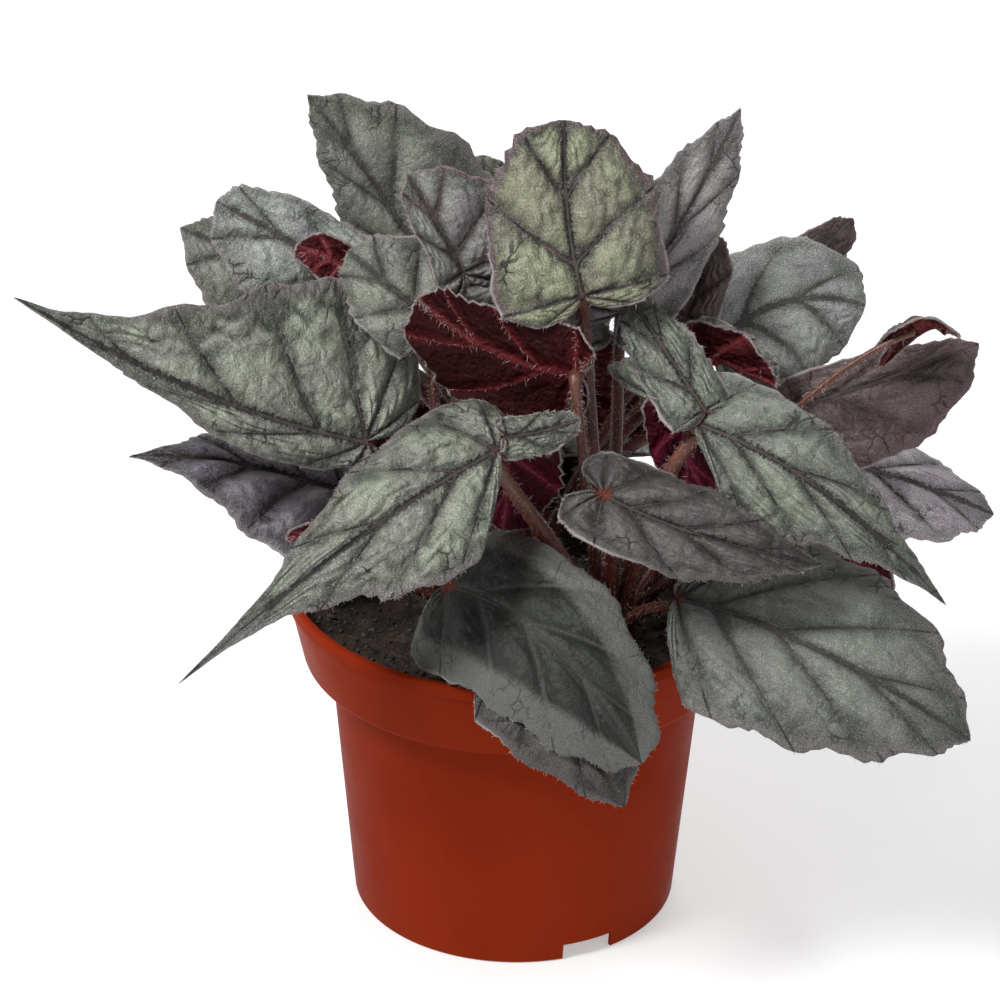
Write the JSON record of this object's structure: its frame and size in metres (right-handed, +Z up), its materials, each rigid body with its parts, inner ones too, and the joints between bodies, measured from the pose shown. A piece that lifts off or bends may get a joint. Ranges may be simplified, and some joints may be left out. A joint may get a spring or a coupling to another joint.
{
  "type": "potted rex begonia",
  "caption": "Potted foliage house plant: waved silver-grey leaf blades on red hairy stalks that rise from crowns in a soil-filled round plastic nursery pot.",
  "frame": {"origin": "middle of the circle on which the pot's feet stand, at floor height", "axes": "+Z up, -Y towards the side the plant is seen from, +X to that viewer's right"},
  "size_m": [0.2493, 0.1582, 0.2192],
  "materials": {
    "pot_plastic": "satin terracotta red",
    "potting_soil": "matt, crumbly and dark",
    "stalks": "satin red brown with pale hairs",
    "leaf_blades": "satin silver grey green above, wine red below"
  },
  "bodies": {
    "root": {"pot": "pot_plastic", "potting_soil": "potting_soil", "crown_left": "stalks", "crown_right": "stalks", "crown_back": "stalks", "leaf_left_long": "leaf_blades", "leaf_left_upper": "leaf_blades", "leaf_left_top": "leaf_blades", "leaf_top_left": "leaf_blades", "leaf_top_middle": "leaf_blades", "leaf_young_cupped": "leaf_blades", "leaf_middle_round": "leaf_blades", "leaf_top_right": "leaf_blades", "leaf_right_small_brown": "leaf_blades", "leaf_right_upper": "leaf_blades", "leaf_right_back_brown": "leaf_blades", "leaf_right_arched": "leaf_blades", "leaf_right_brown": "leaf_blades", "leaf_right_mauve": "leaf_blades", "leaf_right_folded": "leaf_blades", "leaf_right_big": "leaf_blades", "leaf_front_left_big": "leaf_blades", "leaf_front_right": "leaf_blades", "leaf_front_hanging": "leaf_blades", "leaf_front_under": "leaf_blades", "leaf_right_narrow": "leaf_blades", "leaf_right_low": "leaf_blades", "leaf_left_dark": "leaf_blades", "leaf_left_young": "leaf_blades", "leaf_middle_red": "leaf_blades", "leaf_middle_back": "leaf_blades", "leaf_left_curled": "leaf_blades", "leaf_left_red_small": "leaf_blades", "leaf_back_left": "leaf_blades", "leaf_back_middle": "leaf_blades", "leaf_back_right": "leaf_blades", "leaf_back_low": "leaf_blades"}
  },
  "joints": []
}
